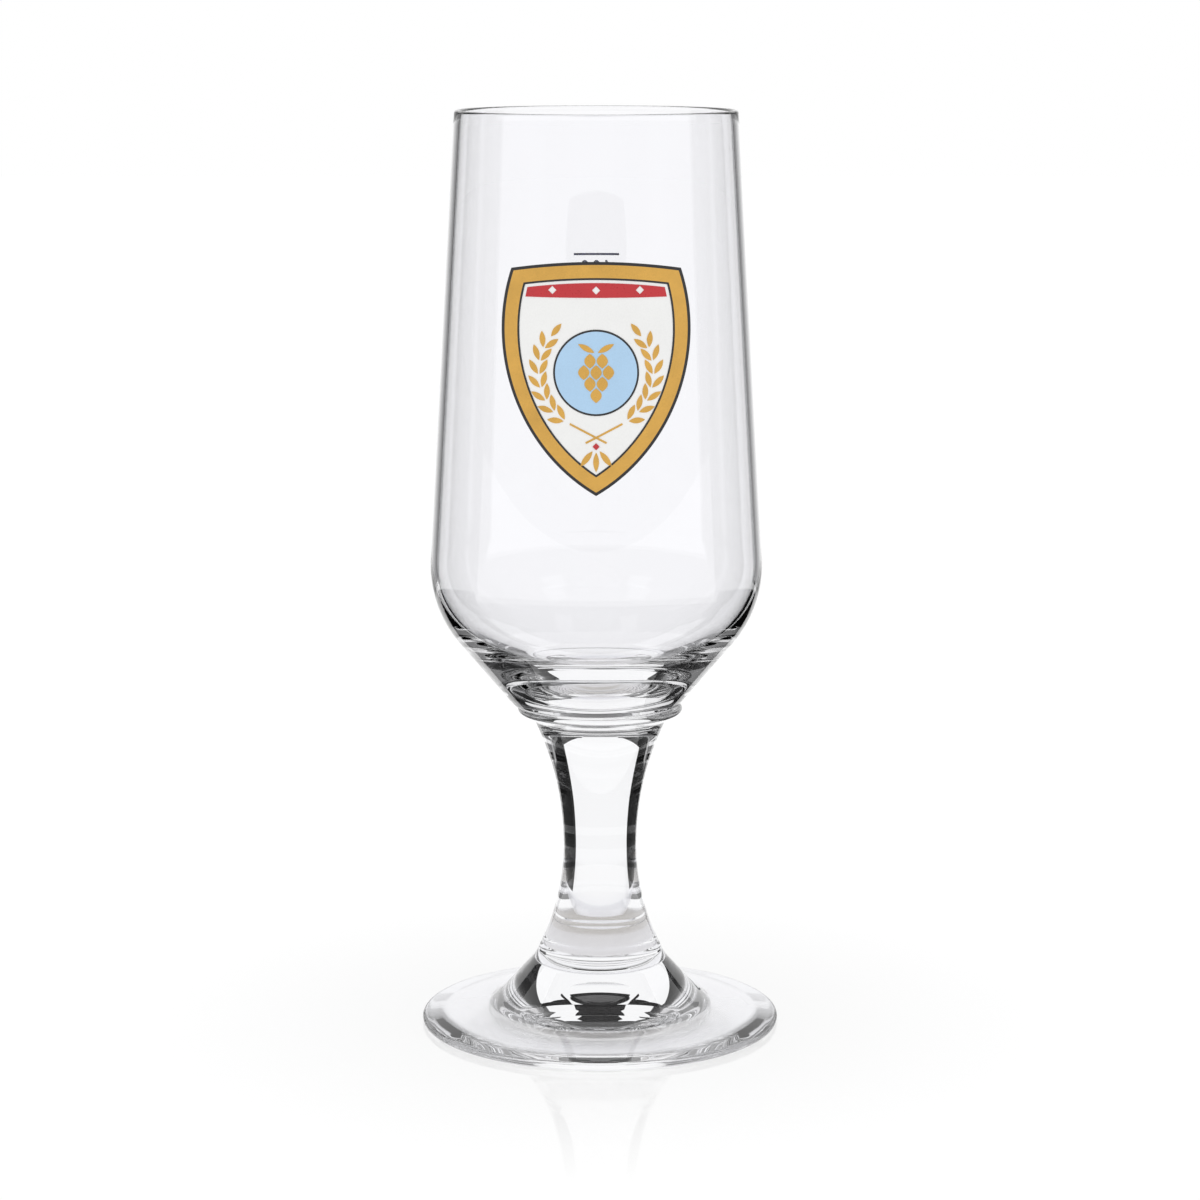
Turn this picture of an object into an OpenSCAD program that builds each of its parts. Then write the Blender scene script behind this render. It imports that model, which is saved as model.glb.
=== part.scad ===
// Stemmed pilsner glass: a blown bowl fused to a pressed stem, which is welded to a
// pressed foot, with a crest of fired enamel colours on the front of the bowl and a
// fill line on its back. Millimetres, +Z up, origin in the middle of the foot's
// underside, the crest facing -Y.

/* [Bowl] */
// Height of the rim above the table
glass_h = 225; // [205:1:245]
// Outside diameter of the rim
rim_d = 68; // [62:0.5:74]
// Outside diameter of the bowl at its widest
bowl_d = 81; // [76:0.5:88]
// Height of the widest ring above the table
shoulder_h = 115; // [108:1:124]
// Radius of the round shoulder below the widest ring
shoulder_r = 29; // [25:0.5:33]
// Slope of the bowl's lower cone from the vertical, in degrees
cone_angle = 40; // [36:1:44]
// Radius of the cone's lower edge, at the stem
base_edge_r = 3.4; // [0.6:0.1:4.4]
// Thickness of the blown wall
wall_t = 1.5; // [1:0.1:2]
// Solid glass under the middle of the inside
base_t = 6; // [5:0.5:14]
// Least glass between the inside corner and the lower cone
heel_t = 1.9; // [1.4:0.1:3]
// Radius of the rounded inside bottom
inside_bottom_r = 48; // [44:1:80]
// Radius between the inside bottom and the inside wall
inside_corner_r = 24; // [9:0.5:25]
// How far the bowl sits off the stem's axis, towards -X
bowl_shift = 0.9; // [0:0.1:1.4]

/* [Stem] */
// Height of the joint between bowl and stem
joint_h = 80; // [76:1:86]
// Diameter of the button that the bowl is fused to
button_d = 40.4; // [38:0.2:44]
// Radius of the button's rounded edge
button_edge_r = 0.8; // [0.6:0.1:1.8]
// Slope of the button's underside from the horizontal, in degrees
button_angle = 30; // [24:1:48]
// Diameter of the stem at its waist
waist_d = 18; // [15:0.5:22]
// Height of the waist above the table
waist_h = 45; // [40:1:50]
// Radius of the flare above the waist
upper_flare_r = 72; // [64:1:84]
// Radius of the flare below the waist
lower_flare_r = 60; // [54:1:68]
// Height of the weld between stem and foot
weld_h = 20; // [17:0.5:23]

/* [Foot] */
// Diameter of the foot
foot_d = 88.5; // [82:0.5:96]
// Thickness of the foot's rounded edge
foot_edge_t = 2.1; // [1.6:0.1:3]
// Rise of the foot's top towards the hub, in degrees
foot_angle = 10.5; // [8:0.5:12]
// Height at which the stem's flare turns into the hub's cone
hub_h = 16; // [12:0.5:16.5]
// Slope of the hub's cone from the vertical, in degrees
hub_angle = 42; // [36:1:48]
// Radius of the sweep from the hub's cone to the foot's top
hub_r = 6; // [4:0.5:18]
// Diameter of the shallow hollow under the foot
hollow_d = 76; // [56:1:78]
// Depth of that hollow in the middle
hollow_depth = 3; // [1:0.1:3.4]
// Diameter of the dimple in the middle of the hollow
dimple_d = 12; // [8:0.5:20]
// Depth of the dimple above the hollow
dimple_depth = 0.7; // [0.3:0.1:1.4]

/* [Crest] */
// Greatest width of the shield
crest_w = 44; // [40:1:50]
// Height of the shield
crest_h = 54; // [48:1:60]
// Height of the shield's middle above the table
crest_z = 164.5; // [158:0.5:172]
// Thickness of one fired colour
enamel_t = 0.1; // [0.06:0.01:0.2]
// Width of the dark line round the shield
outline_w = 0.7; // [0.4:0.1:1.2]
// Width of the gold band inside that line
band_w = 3; // [2:0.1:4]
// Width of the fine lines
fine_line_w = 0.45; // [0.3:0.05:0.7]
// Diameter of the pale blue disc
disc_d = 19; // [17:0.5:21]
// Height of the disc's middle above the shield's middle
disc_lift = 1.5; // [0:0.5:3]
// Length of a barley grain
grain_l = 3.8; // [3.2:0.1:4.2]
// Width of a barley grain
grain_w = 1.35; // [1:0.05:1.5]
// Grains on each side of an ear
grain_pairs = 7; // [5:1:8]
// Length of a hop scale
scale_l = 3.4; // [2.8:0.1:3.7]
// Width of a hop scale
scale_w = 2.6; // [2:0.1:2.8]
// Height of the red bar at the top of the shield
bar_h = 3.4; // [2.6:0.1:4.4]
// Bare ground between the red bar and the lines round it
bar_gap = 0.7; // [0.5:0.1:1.6]

/* [Fill line] */
// Height of the line above the table
fill_h = 188; // [180:0.5:200]
// Length of the line
fill_l = 11.7; // [8:0.1:16]
// Thickness of the drawn line
fill_w = 0.55; // [0.4:0.05:1]

/* [Hidden] */
$fn = 360;

// Overrun of every cut past the face it goes through
over = 1;
// Reach of a sector's straight sides, as a share of its radius
sector_reach_share = 2;

glass_colour = [0.86, 0.9, 0.92, 0.45];
white_colour = [0.93, 0.93, 0.92];
blue_colour = [0.66, 0.78, 0.9];
gold_colour = [0.79, 0.58, 0.2];
black_colour = [0.09, 0.09, 0.1];
red_colour = [0.72, 0.11, 0.12];
line_colour = [0.12, 0.16, 0.36];

// A unit vector at an angle, and the two products of a pair of vectors
function toward(a) = [cos(a), sin(a)];
function dot(u, v) = u[0] * v[0] + u[1] * v[1];
function cross2(u, v) = u[0] * v[1] - u[1] * v[0];
// How far along d, from p, the circle of radius r about c is left
function leave_circle(p, d, c, r) =
  let (w = p - c, along = dot(w, d))
    sqrt(along * along - dot(w, w) + r * r) - along;

// Outside of the bowl, about its own axis: the taper from the rim is tangent to the
// shoulder, and so is the lower cone
rim_point = [rim_d / 2, glass_h];
shoulder_c = [bowl_d / 2 - shoulder_r, shoulder_h];
rim_from_c = rim_point - shoulder_c;
taper_angle = atan2(rim_from_c[1], rim_from_c[0]) - acos(shoulder_r / norm(rim_from_c));
taper_n = toward(taper_angle);
taper_down = toward(taper_angle - 90);
cone_n = toward(-cone_angle);
shoulder_top = shoulder_c + shoulder_r * taper_n;
shoulder_end = shoulder_c + shoulder_r * cone_n;
base_edge_z = joint_h + base_edge_r;
base_edge_in = (base_edge_z - shoulder_end[1]) * sin(cone_angle) - base_edge_r;
base_edge_c = [shoulder_end[0] + base_edge_in / cos(cone_angle), base_edge_z];
base_edge_end = base_edge_c + base_edge_r * cone_n;
function taper_r(z) = rim_point[0] + (glass_h - z) * tan(taper_angle);

// Fire-polished lip, as round as the wall is thick
lip_r = wall_t / 2;
lip_z = glass_h - lip_r;
lip_c = [taper_r(lip_z) - lip_r / cos(taper_angle), lip_z];
lip_out = lip_c + lip_r * taper_n;
lip_in = lip_c - lip_r * taper_n;

// Inside of the bowl: wall, corner and rounded bottom, each tangent to the next. The
// bottom is base_t above the joint, or higher where the corner would near the cone or
// thin the wall at the shoulder
corner_line = shoulder_top - (wall_t + inside_corner_r) * taper_n;
corner_reach = inside_bottom_r - inside_corner_r;
heel_drop = (dot(shoulder_end - corner_line, cone_n) - heel_t - inside_corner_r)
  / dot(taper_down, cone_n);
heel_c = corner_line + heel_drop * taper_down;
function bottom_z(c) = c[1] + sqrt(pow(corner_reach, 2) - pow(c[0], 2)) - inside_bottom_r;
inside_z = max(joint_h + base_t, bottom_z(heel_c), bottom_z(corner_line));
bottom_c = [0, inside_z + inside_bottom_r];
corner_drop = leave_circle(corner_line, taper_down, bottom_c, corner_reach);
corner_c = corner_line + corner_drop * taper_down;
corner_top = corner_c + inside_corner_r * taper_n;
corner_n = (corner_c - bottom_c) / norm(corner_c - bottom_c);
corner_end = bottom_c + inside_bottom_r * corner_n;

// Stem: two flares that meet at the waist, and the button's underside that meets the
// upper one in a crease
waist = [waist_d / 2, waist_h];
upper_c = waist + [upper_flare_r, 0];
lower_c = waist + [lower_flare_r, 0];
button_c = [button_d / 2 - button_edge_r, joint_h - button_edge_r];
button_end = button_c + button_edge_r * toward(button_angle - 90);
button_in = toward(button_angle - 180);
crease = button_end
  + leave_circle(button_end, button_in, upper_c, upper_flare_r) * button_in;

// Foot: the flare ends at a kink, and the hub's cone below it is joined to the slope
// of the foot's top by a sweep that is tangent to both
function flare_x(z) = lower_c[0] - sqrt(pow(lower_flare_r, 2) - pow(z - lower_c[1], 2));
foot_edge_r = foot_edge_t / 2;
foot_edge_c = [foot_d / 2 - foot_edge_r, foot_edge_r];
foot_n = toward(90 - foot_angle);
foot_in = toward(180 - foot_angle);
foot_edge_top = foot_edge_c + foot_edge_r * foot_n;
kink = [flare_x(hub_h), hub_h];
hub_n = toward(hub_angle);
hub_down = toward(hub_angle - 90);
hub_reach = foot_edge_top + hub_r * foot_n - kink - hub_r * hub_n;
hub_end = kink + cross2(hub_reach, foot_in) / cross2(hub_down, foot_in) * hub_down;
hub_c = hub_end + hub_r * hub_n;
hub_out = hub_c - hub_r * foot_n;

// Underside: a shallow hollow, and a dimple in the middle of it
function cap_r(d, depth) = (pow(d / 2, 2) + pow(depth, 2)) / (2 * depth);
hollow_r = cap_r(hollow_d, hollow_depth);
hollow_c = [0, hollow_depth - hollow_r];
dimple_r = cap_r(dimple_d, dimple_depth);
dimple_edge_z = hollow_c[1] + sqrt(pow(hollow_r, 2) - pow(dimple_d / 2, 2));
dimple_c = [0, dimple_edge_z + dimple_depth - dimple_r];

// Crest: swelling sides that meet in a point below, under a slightly arched top
side_drop_share = sqrt(3) / 2;
side_c = [crest_w / 2, crest_w * side_drop_share - crest_h / 2];
arch_r_share = 2.5;
arch_r = crest_w * arch_r_share;
frame_w = outline_w + band_w + fine_line_w;
disc_c = [0, disc_lift];

// Barley: an ear on each side, bent round midway between the disc and the frame, and
// a fan of leaves below
field_x = sqrt(pow(crest_w - frame_w, 2) - pow(side_c[1] - disc_lift, 2)) - side_c[0];
ear_r = (disc_d / 2 + fine_line_w + field_x) / 2;
ear_lean = 30;
ear_low_angle = -56;
ear_step = 13.5;
stalk_angle = ear_low_angle - ear_step / 2;
stalk_l_share = 0.72;
stalk_l = ear_r * stalk_l_share;
fan_angles = [-38, 0, 38];
fan_drop_share = 1.28;
fan_leaf_share = 1.2;

// Hop: rows of scales from the top down, and two leaves above them
hop_rows_shares = [[-0.5, 0.5], [-1, 0, 1], [-0.5, 0.5], [0]];
hop_row_share = 0.78;
hop_column_share = 1.1;
hop_lift_share = 1.3;
hop_leaf_share = 1.25;
hop_leaf_angles = [-62, 62];

// Red bar: diamonds of bare ground cut through it, and the tie round the stalks
diamond_count = 3;
diamond_pitch_share = 0.23;
diamond_share = 0.4;
tie_share = 0.34;

// The part of a disc between two points on its edge
module sector(c, r, p, q) {
  intersection() {
    translate(c) circle(r);
    polygon([c, c + sector_reach_share * (p - c), c + sector_reach_share * (q - c)]);
  }
}

// Half profile of all that lies within the bowl's outer face
module bowl_outside() {
  polygon([
    [0, joint_h], [base_edge_c[0], joint_h], base_edge_end, shoulder_end,
    shoulder_top, lip_out, lip_in, [0, lip_in[1]]
  ]);
  sector(base_edge_c, base_edge_r, [base_edge_c[0], joint_h], base_edge_end);
  sector(shoulder_c, shoulder_r, shoulder_end, shoulder_top);
}

// Half profile of the space inside the bowl
module bowl_inside() {
  polygon([
    [0, inside_z], corner_end, corner_top, lip_in,
    lip_in + [0, over], [0, lip_in[1] + over]
  ]);
  sector(bottom_c, inside_bottom_r, [0, inside_z], corner_end);
  sector(corner_c, inside_corner_r, corner_end, corner_top);
}

module bowl() {
  color(glass_colour)
    translate([-bowl_shift, 0, 0])
      rotate_extrude() {
        difference() {
          bowl_outside();
          bowl_inside();
        }
        translate(lip_c) circle(lip_r);
      }
}

// Half profile of the glass between two heights, inside a flare of radius r about c
module flare_slab(low, high, c, r) {
  difference() {
    translate([0, low]) square([c[0], high - low]);
    translate(c) circle(r);
  }
}

module stem() {
  color(glass_colour)
    rotate_extrude() {
      flare_slab(weld_h, waist_h, lower_c, lower_flare_r);
      flare_slab(waist_h, crease[1], upper_c, upper_flare_r);
      polygon([
        [0, crease[1]], crease, button_end, button_c,
        [button_c[0], joint_h], [0, joint_h]
      ]);
      translate(button_c) circle(button_edge_r);
    }
}

// Half profile of the space under the foot, inside a circle of radius r about c
module under_cap(c, r) {
  intersection() {
    translate(c) circle(r, $fn = 4 * $fn);
    translate([0, -over]) square([foot_d, hub_h + over]);
  }
}

module foot() {
  color(glass_colour)
    rotate_extrude() {
      flare_slab(hub_h, weld_h, lower_c, lower_flare_r);
      difference() {
        polygon([
          [0, 0], [foot_edge_c[0], 0], foot_edge_c, foot_edge_top,
          hub_out, hub_c, hub_end, kink, [0, hub_h]
        ]);
        translate(hub_c) circle(hub_r);
        under_cap(hollow_c, hollow_r);
        under_cap(dimple_c, dimple_r);
      }
      translate(foot_edge_c) circle(foot_edge_r);
    }
}

// The flat drawing of its children, fired on the bowl's wall as the given layer: the
// drawing's origin is at height z, half_h is how far it reaches up and down, and
// turn is 0 on the front and 180 on the back
module fired(layer, z, half_h, turn = 0) {
  low = z - half_h - over;
  high = z + half_h + over;
  step = enamel_t / cos(taper_angle);
  under = layer * step;
  translate([-bowl_shift, 0, 0])
    intersection() {
      rotate_extrude()
        polygon([
          [taper_r(low) + under, low], [taper_r(low) + under + step, low],
          [taper_r(high) + under + step, high], [taper_r(high) + under, high]
        ]);
      translate([0, 0, z])
        rotate([90, 0, turn]) linear_extrude(bowl_d) children();
    }
}

module fired_crest(layer) {
  fired(layer, crest_z, crest_h / 2) children();
}

// The shield's outline, drawn in by a margin all round
module shield(margin) {
  intersection() {
    translate([-side_c[0], side_c[1]]) circle(crest_w - margin);
    translate(side_c) circle(crest_w - margin);
    translate([0, crest_h / 2 - arch_r]) circle(arch_r - margin);
  }
}

// A pointed leaf along +Y, with its foot at the origin
module leaf(l, w) {
  leaf_r = (l * l + w * w) / (4 * w);
  intersection_for (side = [-1, 1])
    translate([side * (leaf_r - w / 2), l / 2]) circle(leaf_r);
}

module crest_ground() {
  color(white_colour) fired_crest(0) shield(0);
}

module crest_disc() {
  color(blue_colour) fired_crest(1) translate(disc_c) circle(d = disc_d);
}

module crest_band() {
  color(gold_colour)
    fired_crest(1)
      difference() {
        shield(outline_w);
        shield(outline_w + band_w);
      }
}

module crest_outline() {
  color(black_colour)
    fired_crest(1) {
      difference() {
        shield(0);
        shield(outline_w);
      }
      difference() {
        shield(outline_w + band_w);
        shield(frame_w);
      }
      translate(disc_c)
        difference() {
          circle(disc_d / 2 + fine_line_w);
          circle(d = disc_d);
        }
    }
}

// One ear with its stalk, on the right of the disc
module ear() {
  for (i = [0 : grain_pairs - 1], side = [-1, 1])
    rotate(ear_low_angle + i * ear_step)
      translate([ear_r - side * fine_line_w / 2, 0])
        rotate(side * ear_lean) leaf(grain_l, grain_w);
  rotate(ear_low_angle + grain_pairs * ear_step)
    translate([ear_r, 0]) leaf(grain_l, grain_w);
  rotate(stalk_angle)
    translate([ear_r - fine_line_w / 2, -stalk_l]) square([fine_line_w, stalk_l]);
}

module crest_barley() {
  color(gold_colour)
    fired_crest(1)
      translate(disc_c) {
        ear();
        mirror([1, 0]) ear();
        for (a = fan_angles)
          translate([0, -ear_r * fan_drop_share])
            rotate(180 + a)
              translate([0, grain_w]) leaf(grain_l * fan_leaf_share, grain_w);
      }
}

module crest_hop() {
  row_step = scale_l * hop_row_share;
  column_step = scale_w * hop_column_share;
  color(gold_colour)
    fired_crest(2)
      translate(disc_c + [0, scale_l * hop_lift_share]) {
        for (row = [0 : len(hop_rows_shares) - 1], column = hop_rows_shares[row])
          translate([column * column_step, -row * row_step])
            rotate(180) leaf(scale_l, scale_w);
        for (a = hop_leaf_angles)
          rotate(a)
            translate([0, fine_line_w]) leaf(scale_l * hop_leaf_share, scale_w / 2);
      }
}

module diamond(share) {
  rotate(45) square(bar_h * share, center = true);
}

module crest_bar() {
  margin = frame_w + bar_gap;
  bar_low = crest_h / 2 - margin - bar_h;
  color(red_colour) {
    fired_crest(1)
      difference() {
        shield(margin);
        translate([-crest_w, bar_low - crest_h]) square([crest_w + crest_w, crest_h]);
        for (i = [1 : diamond_count])
          translate([
            (i - (diamond_count + 1) / 2) * crest_w * diamond_pitch_share,
            bar_low + bar_h / 2
          ])
            diamond(diamond_share);
      }
    fired_crest(2)
      translate(disc_c - [0, ear_r * fan_drop_share]) diamond(tie_share);
  }
}

module fill_line() {
  color(line_colour)
    fired(0, fill_h, fill_w, 180) square([fill_l, fill_w], center = true);
}

bowl();
stem();
foot();
crest_ground();
crest_disc();
crest_band();
crest_outline();
crest_barley();
crest_hop();
crest_bar();
fill_line();
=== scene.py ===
import math

import bmesh
import bpy
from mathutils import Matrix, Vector


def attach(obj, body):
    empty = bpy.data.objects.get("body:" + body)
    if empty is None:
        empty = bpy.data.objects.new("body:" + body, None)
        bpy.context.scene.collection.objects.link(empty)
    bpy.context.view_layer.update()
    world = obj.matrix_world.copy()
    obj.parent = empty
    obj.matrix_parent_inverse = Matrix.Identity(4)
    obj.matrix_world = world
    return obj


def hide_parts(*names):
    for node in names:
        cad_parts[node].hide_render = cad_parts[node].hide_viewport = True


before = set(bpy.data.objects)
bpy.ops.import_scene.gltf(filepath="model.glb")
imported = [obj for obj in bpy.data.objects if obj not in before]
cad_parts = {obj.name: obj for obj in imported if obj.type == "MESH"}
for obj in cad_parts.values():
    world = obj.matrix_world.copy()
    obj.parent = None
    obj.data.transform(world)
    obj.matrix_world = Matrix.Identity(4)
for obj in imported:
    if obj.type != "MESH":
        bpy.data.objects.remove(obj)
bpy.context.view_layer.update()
print("frame loaded,", len(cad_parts), "CAD nodes")

scene = bpy.context.scene
mm = 0.001


# helpers for profiles and flat drawings, in millimetres
def toward(degrees):
    return Vector((math.cos(math.radians(degrees)), math.sin(math.radians(degrees))))


def cross(a, b):
    return a.x * b.y - a.y * b.x


def leaveCircle(p, d, c, r):  # how far along d, from p, the circle is left
    w = p - c
    along = w.dot(d)
    return math.sqrt(along * along - w.dot(w) + r * r) - along


def arc(c, r, p, q, steps):  # points on the circle from p to q, the short way, in so many steps
    start = math.atan2(p.y - c.y, p.x - c.x)
    turn = math.atan2(q.y - c.y, q.x - c.x) - start
    turn = (turn + math.pi) % (2 * math.pi) - math.pi
    return [c + r * Vector((math.cos(start + turn * i / steps), math.sin(start + turn * i / steps)))
            for i in range(steps + 1)]


def line(p, q, steps):
    return [p.lerp(q, i / steps) for i in range(steps + 1)]


def joined(*runs):  # runs of points end to end, without doubles
    points = []
    for run in runs:
        for p in run:
            if not points or (p - points[-1]).length > 1e-6:
                points.append(p)
    return points


def newObject(name, mesh):
    made = bpy.data.objects.new(name, mesh)
    scene.collection.objects.link(made)
    return made


# helpers for node trees
def newTree(name, inputs):
    tree = bpy.data.node_groups.new(name, "GeometryNodeTree")
    tree.interface.new_socket("Geometry", in_out="INPUT", socket_type="NodeSocketGeometry")
    ids = {}
    for label, kind, start in inputs:
        socket = tree.interface.new_socket(label, in_out="INPUT", socket_type="NodeSocket" + kind)
        if start is not None:
            socket.default_value = start
        ids[label] = socket.identifier
    tree.interface.new_socket("Geometry", in_out="OUTPUT", socket_type="NodeSocketGeometry")
    return tree, ids


def addNode(tree, kind, links=None, **settings):
    node = tree.nodes.new(kind)
    for key, value in settings.items():
        setattr(node, key, value)
    for socket, value in (links or {}).items():
        if isinstance(value, bpy.types.NodeSocket):
            tree.links.new(value, node.inputs[socket])
        else:
            node.inputs[socket].default_value = value
    return node


def mathOf(tree, operation, *values):  # one Math node
    return addNode(tree, "ShaderNodeMath", dict(enumerate(values)), operation=operation).outputs[0]


def vectorOf(tree, x, y, z):
    return addNode(tree, "ShaderNodeCombineXYZ", {0: x, 1: y, 2: z}).outputs[0]


def joinOf(tree, *shapes):
    node = addNode(tree, "GeometryNodeJoinGeometry")
    for shape in shapes:
        tree.links.new(shape, node.inputs[0])
    return node.outputs[0]


def named(tree, name):  # a number that the points carry
    return addNode(tree, "GeometryNodeInputNamedAttribute", {"Name": name}, data_type="FLOAT").outputs[0]


def setInputs(modifier, tree, ids, values):
    modifier.node_group = tree
    for label, value in values.items():
        modifier[ids[label]] = value


def settle(holder):  # the evaluated result becomes the object's own plain mesh
    mesh = bpy.data.meshes.new_from_object(holder.evaluated_get(bpy.context.evaluated_depsgraph_get()))
    made = [m for m in mesh.materials if m]  # without the tree's empty slot
    mesh.materials.clear()
    for material in made:
        mesh.materials.append(material)
    mesh.polygons.foreach_set("material_index", [0] * len(mesh.polygons))
    holder.modifiers.clear()
    holder.data = mesh
    mesh.name = holder.name


def newMaterial(name):
    material = bpy.data.materials.new(name)
    material.use_nodes = True
    material.node_tree.nodes.clear()
    return material, material.node_tree


# clear glass: faint waves in the surface, and a trace of haze in patches
glassSpec = {
    "ior": 1.52, "waveDetail": 2.0, "hazeScale": 60.0, "hazeDetail": 3.0, "hazeFrom": 0.45,
    "hazeTo": 0.8, "haze": 0.001,
}


def clearGlass(name, tint, wave, waveSize):
    s = glassSpec
    material, tree = newMaterial(name)
    where = addNode(tree, "ShaderNodeTexCoord").outputs["Object"]
    waves = addNode(tree, "ShaderNodeTexNoise", {
        "Vector": where, "Scale": 1 / waveSize, "Detail": s["waveDetail"]})
    haze = addNode(tree, "ShaderNodeTexNoise", {
        "Vector": where, "Scale": s["hazeScale"], "Detail": s["hazeDetail"]})
    rough = addNode(tree, "ShaderNodeMapRange", {
        "Value": haze.outputs["Fac"], "From Min": s["hazeFrom"], "From Max": s["hazeTo"],
        "To Min": 0.0, "To Max": s["haze"]})
    bump = addNode(tree, "ShaderNodeBump", {
        "Strength": 1.0, "Distance": wave, "Height": waves.outputs["Fac"]})
    shader = addNode(tree, "ShaderNodeBsdfPrincipled", {
        "Base Color": tint, "IOR": s["ior"], "Transmission Weight": 1.0,
        "Roughness": rough.outputs["Result"], "Normal": bump.outputs["Normal"]})
    addNode(tree, "ShaderNodeOutputMaterial", {"Surface": shader.outputs["BSDF"]})
    return material


def fusedGlass():  # where two pieces are melted together there is no surface
    material, tree = newMaterial("fusedGlass")
    clear = addNode(tree, "ShaderNodeBsdfTransparent")
    addNode(tree, "ShaderNodeOutputMaterial", {"Surface": clear.outputs["BSDF"]})
    return material


# fired colours: cloudy, with a fine grain
firedSpec = {
    "cloudScale": 160.0, "cloudDetail": 4.0, "grainDetail": 2.0, "grainShare": 0.55, "noiseFrom": 0.3,
    "noiseTo": 0.7, "roughStep": 0.16, "bump": 0.6, "bumpDepth": 0.00002,
}


def enamel(name, colour, spread, grain, gloss, metal=0.0):
    s = firedSpec
    material, tree = newMaterial(name)
    where = addNode(tree, "ShaderNodeTexCoord").outputs["Object"]
    cloud = addNode(tree, "ShaderNodeTexNoise", {
        "Vector": where, "Scale": s["cloudScale"], "Detail": s["cloudDetail"]})
    speck = addNode(tree, "ShaderNodeTexNoise", {
        "Vector": where, "Scale": grain, "Detail": s["grainDetail"]})
    mix = addNode(tree, "ShaderNodeMix", {"Factor": s["grainShare"]}, data_type="FLOAT")
    tree.links.new(cloud.outputs["Fac"], mix.inputs[2])
    tree.links.new(speck.outputs["Fac"], mix.inputs[3])
    ramp = addNode(tree, "ShaderNodeValToRGB", {"Fac": mix.outputs[0]})
    dark, pale = ramp.color_ramp.elements
    dark.position, pale.position = s["noiseFrom"], s["noiseTo"]
    dark.color = [c * (1 - spread) for c in colour] + [1]
    pale.color = [min(1, c * (1 + spread)) for c in colour] + [1]
    rough = addNode(tree, "ShaderNodeMapRange", {
        "Value": speck.outputs["Fac"], "From Min": s["noiseFrom"], "From Max": s["noiseTo"],
        "To Min": gloss, "To Max": gloss + s["roughStep"]})
    bump = addNode(tree, "ShaderNodeBump", {
        "Strength": s["bump"], "Distance": s["bumpDepth"], "Height": speck.outputs["Fac"]})
    shader = addNode(tree, "ShaderNodeBsdfPrincipled", {
        "Base Color": ramp.outputs["Color"], "Metallic": metal,
        "Roughness": rough.outputs["Result"], "Normal": bump.outputs["Normal"]})
    addNode(tree, "ShaderNodeOutputMaterial", {"Surface": shader.outputs["BSDF"]})
    return material


finish = {
    "blown": clearGlass("blownGlass", (0.985, 0.985, 1.0, 1), 0.0000005, 0.018),
    "pressed": clearGlass("pressedGlass", (0.985, 0.988, 1.0, 1), 0.0000005, 0.009),
    "fused": fusedGlass(),
    "white": enamel("whiteEnamel", (0.86, 0.86, 0.85), 0.03, 2600.0, 0.28),
    "blue": enamel("blueEnamel", (0.42, 0.62, 0.83), 0.05, 2600.0, 0.28),
    "gold": enamel("goldEnamel", (0.66, 0.37, 0.07), 0.18, 5200.0, 0.3, 0.25),
    "black": enamel("blackEnamel", (0.012, 0.012, 0.014), 0.3, 2600.0, 0.26),
    "red": enamel("redEnamel", (0.52, 0.022, 0.03), 0.08, 2600.0, 0.26),
    "line": enamel("lineEnamel", (0.016, 0.024, 0.13), 0.15, 2600.0, 0.3),
}
print("materials ready:", len(finish))


# turned glass: rows of (radius, axis shift, height) turned round the Z axis
turnSpec = {
    "merge": 0.000002, "sharpAngle": 38, "flatFrom": 0.99, "heightSlack": 0.1, "radiusSlack": 0.05,
}


def turnTree():
    tree, ids = newTree("turnedGlass", [
        ("Profile", "Object", None), ("Rows", "Int", 2), ("Segments", "Int", 256),
        ("Glass", "Material", None)])
    given = addNode(tree, "NodeGroupInput").outputs
    columns = mathOf(tree, "ADD", given["Segments"], 1.0)
    grid = addNode(tree, "GeometryNodeMeshGrid", {"Vertices X": given["Rows"], "Vertices Y": columns})
    index = addNode(tree, "GeometryNodeInputIndex").outputs[0]
    row = mathOf(tree, "FLOOR", mathOf(tree, "DIVIDE", mathOf(tree, "ADD", index, 0.5), columns))
    column = mathOf(tree, "SUBTRACT", index, mathOf(tree, "MULTIPLY", row, columns))
    angle = mathOf(tree, "DIVIDE", mathOf(tree, "MULTIPLY", column, 2 * math.pi), given["Segments"])
    profile = addNode(tree, "GeometryNodeObjectInfo", {"Object": given["Profile"]}).outputs["Geometry"]
    place = addNode(tree, "GeometryNodeInputPosition").outputs[0]
    sample = addNode(tree, "GeometryNodeSampleIndex", {"Geometry": profile, "Index": row},
                     data_type="FLOAT_VECTOR", domain="POINT")
    tree.links.new(place, sample.inputs["Value"])
    radius, shift, height = addNode(tree, "ShaderNodeSeparateXYZ", {0: sample.outputs[0]}).outputs
    across = mathOf(tree, "MULTIPLY", radius, mathOf(tree, "COSINE", angle))
    deep = mathOf(tree, "MULTIPLY", radius, mathOf(tree, "SINE", angle))
    turned = vectorOf(tree, mathOf(tree, "ADD", across, shift), deep, height)
    shape = addNode(tree, "GeometryNodeSetPosition", {
        "Geometry": grid.outputs["Mesh"], "Position": turned}).outputs[0]
    shape = addNode(tree, "GeometryNodeMergeByDistance", {
        "Geometry": shape, "Distance": turnSpec["merge"]}).outputs[0]
    shape = addNode(tree, "GeometryNodeSetShadeSmooth", {"Geometry": shape}).outputs[0]
    shape = addNode(tree, "GeometryNodeRealizeInstances", {"Geometry": shape}).outputs[0]
    shape = addNode(tree, "GeometryNodeSetMaterial", {
        "Geometry": shape, "Material": given["Glass"]}).outputs[0]
    addNode(tree, "NodeGroupOutput", {0: shape})
    return tree, ids


turnedGlass = turnTree()


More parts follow.
